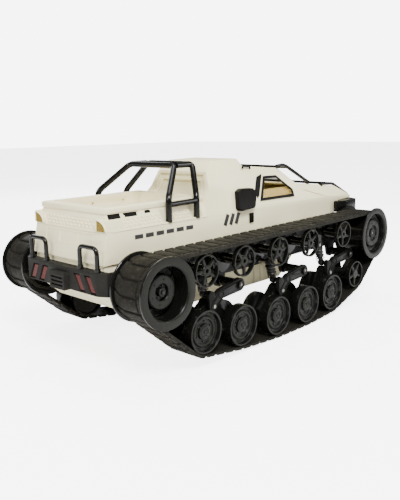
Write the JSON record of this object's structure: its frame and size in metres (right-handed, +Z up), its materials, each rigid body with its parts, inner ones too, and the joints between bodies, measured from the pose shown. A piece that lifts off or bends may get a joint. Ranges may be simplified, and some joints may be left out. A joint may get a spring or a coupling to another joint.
{
  "type": "radio-controlled tracked vehicle",
  "caption": "Remote-control tracked pickup vehicle with sprung bogie running gear, belt tracks, open load bed, roll cage and cab.",
  "frame": {"origin": "on the ground, midway between the front and rear ends, on the centre line", "axes": "+X forwards, +Y to the vehicle's left, +Z up"},
  "size_m": [0.364, 0.1866, 0.1562],
  "materials": {
    "cream_shell": "fine moulded ABS, slightly satin",
    "hatch_plastic": "moulded ABS",
    "track_rubber": "dusty dark grey-brown rubber with moulded pads",
    "wheel_plastic": "glossy near-black moulded plastic",
    "arm_plastic": "black glass-filled nylon",
    "rail_plastic": "black glass-filled nylon",
    "pin_steel": "turned bright steel",
    "cage_gloss": "glossy black moulded plastic",
    "bumper_plastic": "dark grey satin plastic",
    "bumper_black": "black satin plastic",
    "trim_black": "black satin plastic",
    "red_lens": "dull red moulded reflector",
    "amber_lens": "amber moulded lens",
    "window_clear": "clear moulded glazing",
    "motor_metal": "zinc-plated motor can and gear case",
    "battery_wrap": "heat-shrink wrap",
    "board_green": "solder-mask green board",
    "damper_rubber": "black damper bodies and boots"
  },
  "bodies": {
    "root": {"track_left": "track_rubber", "track_right": "track_rubber", "hull_tub": "cream_shell", "battery_hatch": "hatch_plastic", "body_shell": "cream_shell", "side_rails": "rail_plastic", "steel_pins": "pin_steel", "roll_cage": "cage_gloss", "rear_bumper": "bumper_plastic", "bumper_hoops": "cage_gloss", "red_reflectors": "red_lens", "corner_lamps": "amber_lens", "window_panes": "window_clear", "window_frames": "trim_black", "guard_bars": "trim_black", "front_bumper": "bumper_black", "intake_covers": "trim_black", "drive_units": "motor_metal", "battery_pack": "battery_wrap", "control_board": "board_green", "shock_absorbers": "damper_rubber"},
    "power_switch": {"power_switch": "trim_black"},
    "drive_sprocket_left": {"drive_sprocket_left": "wheel_plastic"},
    "idler_wheel_left": {"idler_wheel_left": "wheel_plastic"},
    "return_roller_left_1": {"return_roller_left_1": "wheel_plastic"},
    "return_roller_left_2": {"return_roller_left_2": "wheel_plastic"},
    "return_roller_left_3": {"return_roller_left_3": "wheel_plastic"},
    "return_roller_left_4": {"return_roller_left_4": "wheel_plastic"},
    "return_roller_left_5": {"return_roller_left_5": "wheel_plastic"},
    "swing_arm_left_1": {"swing_arm_left_1": "arm_plastic"},
    "bogie_left_1": {"bogie_left_1": "arm_plastic"},
    "road_wheel_left_1": {"road_wheel_left_1": "wheel_plastic"},
    "road_wheel_left_2": {"road_wheel_left_2": "wheel_plastic"},
    "swing_arm_left_2": {"swing_arm_left_2": "arm_plastic"},
    "bogie_left_2": {"bogie_left_2": "arm_plastic"},
    "road_wheel_left_3": {"road_wheel_left_3": "wheel_plastic"},
    "road_wheel_left_4": {"road_wheel_left_4": "wheel_plastic"},
    "swing_arm_left_3": {"swing_arm_left_3": "arm_plastic"},
    "bogie_left_3": {"bogie_left_3": "arm_plastic"},
    "road_wheel_left_5": {"road_wheel_left_5": "wheel_plastic"},
    "lead_wheel_left": {"lead_wheel_left": "wheel_plastic"},
    "drive_sprocket_right": {"drive_sprocket_right": "wheel_plastic"},
    "idler_wheel_right": {"idler_wheel_right": "wheel_plastic"},
    "return_roller_right_1": {"return_roller_right_1": "wheel_plastic"},
    "return_roller_right_2": {"return_roller_right_2": "wheel_plastic"},
    "return_roller_right_3": {"return_roller_right_3": "wheel_plastic"},
    "return_roller_right_4": {"return_roller_right_4": "wheel_plastic"},
    "return_roller_right_5": {"return_roller_right_5": "wheel_plastic"},
    "swing_arm_right_1": {"swing_arm_right_1": "arm_plastic"},
    "bogie_right_1": {"bogie_right_1": "arm_plastic"},
    "road_wheel_right_1": {"road_wheel_right_1": "wheel_plastic"},
    "road_wheel_right_2": {"road_wheel_right_2": "wheel_plastic"},
    "swing_arm_right_2": {"swing_arm_right_2": "arm_plastic"},
    "bogie_right_2": {"bogie_right_2": "arm_plastic"},
    "road_wheel_right_3": {"road_wheel_right_3": "wheel_plastic"},
    "road_wheel_right_4": {"road_wheel_right_4": "wheel_plastic"},
    "swing_arm_right_3": {"swing_arm_right_3": "arm_plastic"},
    "bogie_right_3": {"bogie_right_3": "arm_plastic"},
    "road_wheel_right_5": {"road_wheel_right_5": "wheel_plastic"},
    "lead_wheel_right": {"lead_wheel_right": "wheel_plastic"}
  },
  "joints": [
    {"name": "power_switch_slide", "type": "slide", "parent": "root", "child": "power_switch", "axis": [1, 0, 0], "range_m": [0, 0.004]},
    {"name": "drive_sprocket_left_spin", "type": "hinge", "parent": "root", "child": "drive_sprocket_left", "pos_m": [-0.15, 0.055, 0.069], "axis": [0, 1, 0], "continuous": true},
    {"name": "idler_wheel_left_spin", "type": "hinge", "parent": "root", "child": "idler_wheel_left", "pos_m": [0.15, 0.075, 0.0717], "axis": [0, 1, 0], "continuous": true},
    {"name": "return_roller_left_1_spin", "type": "hinge", "parent": "root", "child": "return_roller_left_1", "pos_m": [-0.107, 0.075, 0.07729], "axis": [0, 1, 0], "continuous": true},
    {"name": "return_roller_left_2_spin", "type": "hinge", "parent": "root", "child": "return_roller_left_2", "pos_m": [-0.0625, 0.075, 0.07758], "axis": [0, 1, 0], "continuous": true},
    {"name": "return_roller_left_3_spin", "type": "hinge", "parent": "root", "child": "return_roller_left_3", "pos_m": [-0.0152, 0.075, 0.0779], "axis": [0, 1, 0], "continuous": true},
    {"name": "return_roller_left_4_spin", "type": "hinge", "parent": "root", "child": "return_roller_left_4", "pos_m": [0.0335, 0.075, 0.07822], "axis": [0, 1, 0], "continuous": true},
    {"name": "return_roller_left_5_spin", "type": "hinge", "parent": "root", "child": "return_roller_left_5", "pos_m": [0.0912, 0.075, 0.07861], "axis": [0, 1, 0], "continuous": true},
    {"name": "swing_arm_left_1_hinge", "type": "hinge", "parent": "root", "child": "swing_arm_left_1", "pos_m": [-0.0565, 0.078, 0.0552], "axis": [0, 1, 0], "range_deg": [0, 9], "stiffness_Nm_per_rad": 1.2, "springref_deg": -6.88, "deforming": ["shock_absorbers", "track_left"]},
    {"name": "bogie_left_1_rock", "type": "hinge", "parent": "swing_arm_left_1", "child": "bogie_left_1", "pos_m": [-0.0896, 0.0715, 0.0437], "axis": [0, 1, 0], "range_deg": [-4, 4], "stiffness_Nm_per_rad": 0.3, "deforming": ["track_left"]},
    {"name": "road_wheel_left_1_spin", "type": "hinge", "parent": "bogie_left_1", "child": "road_wheel_left_1", "pos_m": [-0.109, 0.0715, 0.0293], "axis": [0, 1, 0], "continuous": true},
    {"name": "road_wheel_left_2_spin", "type": "hinge", "parent": "bogie_left_1", "child": "road_wheel_left_2", "pos_m": [-0.064, 0.0715, 0.0235], "axis": [0, 1, 0], "continuous": true},
    {"name": "swing_arm_left_2_hinge", "type": "hinge", "parent": "root", "child": "swing_arm_left_2", "pos_m": [0.0376, 0.078, 0.0501], "axis": [0, 1, 0], "range_deg": [0, 9], "stiffness_Nm_per_rad": 1.2, "springref_deg": -6.88, "deforming": ["shock_absorbers", "track_left"]},
    {"name": "bogie_left_2_rock", "type": "hinge", "parent": "swing_arm_left_2", "child": "bogie_left_2", "pos_m": [0.0028, 0.0715, 0.0377], "axis": [0, 1, 0], "range_deg": [-4, 4], "stiffness_Nm_per_rad": 0.3, "deforming": ["track_left"]},
    {"name": "road_wheel_left_3_spin", "type": "hinge", "parent": "bogie_left_2", "child": "road_wheel_left_3", "pos_m": [-0.016, 0.0715, 0.0204], "axis": [0, 1, 0], "continuous": true},
    {"name": "road_wheel_left_4_spin", "type": "hinge", "parent": "bogie_left_2", "child": "road_wheel_left_4", "pos_m": [0.0303, 0.0715, 0.0204], "axis": [0, 1, 0], "continuous": true},
    {"name": "swing_arm_left_3_hinge", "type": "hinge", "parent": "root", "child": "swing_arm_left_3", "pos_m": [0.1209, 0.078, 0.0532], "axis": [0, 1, 0], "range_deg": [0, 9], "stiffness_Nm_per_rad": 1.2, "springref_deg": -6.88, "deforming": ["shock_absorbers", "track_left"]},
    {"name": "bogie_left_3_rock", "type": "hinge", "parent": "swing_arm_left_3", "child": "bogie_left_3", "pos_m": [0.0828, 0.0715, 0.0398], "axis": [0, 1, 0], "range_deg": [-4, 4], "stiffness_Nm_per_rad": 0.3, "deforming": ["track_left"]},
    {"name": "road_wheel_left_5_spin", "type": "hinge", "parent": "bogie_left_3", "child": "road_wheel_left_5", "pos_m": [0.0725, 0.0715, 0.0232], "axis": [0, 1, 0], "continuous": true},
    {"name": "lead_wheel_left_spin", "type": "hinge", "parent": "bogie_left_3", "child": "lead_wheel_left", "pos_m": [0.1167, 0.0715, 0.0333], "axis": [0, 1, 0], "continuous": true},
    {"name": "drive_sprocket_right_spin", "type": "hinge", "parent": "root", "child": "drive_sprocket_right", "pos_m": [-0.15, -0.055, 0.069], "axis": [0, 1, 0], "continuous": true},
    {"name": "idler_wheel_right_spin", "type": "hinge", "parent": "root", "child": "idler_wheel_right", "pos_m": [0.15, -0.075, 0.0717], "axis": [0, 1, 0], "continuous": true},
    {"name": "return_roller_right_1_spin", "type": "hinge", "parent": "root", "child": "return_roller_right_1", "pos_m": [-0.107, -0.075, 0.07729], "axis": [0, 1, 0], "continuous": true},
    {"name": "return_roller_right_2_spin", "type": "hinge", "parent": "root", "child": "return_roller_right_2", "pos_m": [-0.0625, -0.075, 0.07758], "axis": [0, 1, 0], "continuous": true},
    {"name": "return_roller_right_3_spin", "type": "hinge", "parent": "root", "child": "return_roller_right_3", "pos_m": [-0.0152, -0.075, 0.0779], "axis": [0, 1, 0], "continuous": true},
    {"name": "return_roller_right_4_spin", "type": "hinge", "parent": "root", "child": "return_roller_right_4", "pos_m": [0.0335, -0.075, 0.07822], "axis": [0, 1, 0], "continuous": true},
    {"name": "return_roller_right_5_spin", "type": "hinge", "parent": "root", "child": "return_roller_right_5", "pos_m": [0.0912, -0.075, 0.07861], "axis": [0, 1, 0], "continuous": true},
    {"name": "swing_arm_right_1_hinge", "type": "hinge", "parent": "root", "child": "swing_arm_right_1", "pos_m": [-0.0565, -0.078, 0.0552], "axis": [0, 1, 0], "range_deg": [0, 9], "stiffness_Nm_per_rad": 1.2, "springref_deg": -6.88, "deforming": ["shock_absorbers", "track_right"]},
    {"name": "bogie_right_1_rock", "type": "hinge", "parent": "swing_arm_right_1", "child": "bogie_right_1", "pos_m": [-0.0896, -0.0715, 0.0437], "axis": [0, 1, 0], "range_deg": [-4, 4], "stiffness_Nm_per_rad": 0.3, "deforming": ["track_right"]},
    {"name": "road_wheel_right_1_spin", "type": "hinge", "parent": "bogie_right_1", "child": "road_wheel_right_1", "pos_m": [-0.109, -0.0715, 0.0293], "axis": [0, 1, 0], "continuous": true},
    {"name": "road_wheel_right_2_spin", "type": "hinge", "parent": "bogie_right_1", "child": "road_wheel_right_2", "pos_m": [-0.064, -0.0715, 0.0235], "axis": [0, 1, 0], "continuous": true},
    {"name": "swing_arm_right_2_hinge", "type": "hinge", "parent": "root", "child": "swing_arm_right_2", "pos_m": [0.0376, -0.078, 0.0501], "axis": [0, 1, 0], "range_deg": [0, 9], "stiffness_Nm_per_rad": 1.2, "springref_deg": -6.88, "deforming": ["shock_absorbers", "track_right"]},
    {"name": "bogie_right_2_rock", "type": "hinge", "parent": "swing_arm_right_2", "child": "bogie_right_2", "pos_m": [0.0028, -0.0715, 0.0377], "axis": [0, 1, 0], "range_deg": [-4, 4], "stiffness_Nm_per_rad": 0.3, "deforming": ["track_right"]},
    {"name": "road_wheel_right_3_spin", "type": "hinge", "parent": "bogie_right_2", "child": "road_wheel_right_3", "pos_m": [-0.016, -0.0715, 0.0204], "axis": [0, 1, 0], "continuous": true},
    {"name": "road_wheel_right_4_spin", "type": "hinge", "parent": "bogie_right_2", "child": "road_wheel_right_4", "pos_m": [0.0303, -0.0715, 0.0204], "axis": [0, 1, 0], "continuous": true},
    {"name": "swing_arm_right_3_hinge", "type": "hinge", "parent": "root", "child": "swing_arm_right_3", "pos_m": [0.1209, -0.078, 0.0532], "axis": [0, 1, 0], "range_deg": [0, 9], "stiffness_Nm_per_rad": 1.2, "springref_deg": -6.88, "deforming": ["shock_absorbers", "track_right"]},
    {"name": "bogie_right_3_rock", "type": "hinge", "parent": "swing_arm_right_3", "child": "bogie_right_3", "pos_m": [0.0828, -0.0715, 0.0398], "axis": [0, 1, 0], "range_deg": [-4, 4], "stiffness_Nm_per_rad": 0.3, "deforming": ["track_right"]},
    {"name": "road_wheel_right_5_spin", "type": "hinge", "parent": "bogie_right_3", "child": "road_wheel_right_5", "pos_m": [0.0725, -0.0715, 0.0232], "axis": [0, 1, 0], "continuous": true},
    {"name": "lead_wheel_right_spin", "type": "hinge", "parent": "bogie_right_3", "child": "lead_wheel_right", "pos_m": [0.1167, -0.0715, 0.0333], "axis": [0, 1, 0], "continuous": true}
  ],
  "couplings": [
    {"joint": "idler_wheel_left_spin", "follows": "drive_sprocket_left_spin", "ratio": 1.033},
    {"joint": "return_roller_left_1_spin", "follows": "drive_sprocket_left_spin", "ratio": 1.6977},
    {"joint": "return_roller_left_2_spin", "follows": "drive_sprocket_left_spin", "ratio": 1.6977},
    {"joint": "return_roller_left_3_spin", "follows": "drive_sprocket_left_spin", "ratio": 1.6977},
    {"joint": "return_roller_left_4_spin", "follows": "drive_sprocket_left_spin", "ratio": 1.6977},
    {"joint": "return_roller_left_5_spin", "follows": "drive_sprocket_left_spin", "ratio": 1.6977},
    {"joint": "road_wheel_left_1_spin", "follows": "drive_sprocket_left_spin", "ratio": 1.2303},
    {"joint": "road_wheel_left_2_spin", "follows": "drive_sprocket_left_spin", "ratio": 1.2303},
    {"joint": "road_wheel_left_3_spin", "follows": "drive_sprocket_left_spin", "ratio": 1.2303},
    {"joint": "road_wheel_left_4_spin", "follows": "drive_sprocket_left_spin", "ratio": 1.2303},
    {"joint": "road_wheel_left_5_spin", "follows": "drive_sprocket_left_spin", "ratio": 1.2303},
    {"joint": "lead_wheel_left_spin", "follows": "drive_sprocket_left_spin", "ratio": 1.5755},
    {"joint": "idler_wheel_right_spin", "follows": "drive_sprocket_right_spin", "ratio": 1.033},
    {"joint": "return_roller_right_1_spin", "follows": "drive_sprocket_right_spin", "ratio": 1.6977},
    {"joint": "return_roller_right_2_spin", "follows": "drive_sprocket_right_spin", "ratio": 1.6977},
    {"joint": "return_roller_right_3_spin", "follows": "drive_sprocket_right_spin", "ratio": 1.6977},
    {"joint": "return_roller_right_4_spin", "follows": "drive_sprocket_right_spin", "ratio": 1.6977},
    {"joint": "return_roller_right_5_spin", "follows": "drive_sprocket_right_spin", "ratio": 1.6977},
    {"joint": "road_wheel_right_1_spin", "follows": "drive_sprocket_right_spin", "ratio": 1.2303},
    {"joint": "road_wheel_right_2_spin", "follows": "drive_sprocket_right_spin", "ratio": 1.2303},
    {"joint": "road_wheel_right_3_spin", "follows": "drive_sprocket_right_spin", "ratio": 1.2303},
    {"joint": "road_wheel_right_4_spin", "follows": "drive_sprocket_right_spin", "ratio": 1.2303},
    {"joint": "road_wheel_right_5_spin", "follows": "drive_sprocket_right_spin", "ratio": 1.2303},
    {"joint": "lead_wheel_right_spin", "follows": "drive_sprocket_right_spin", "ratio": 1.5755}
  ]
}
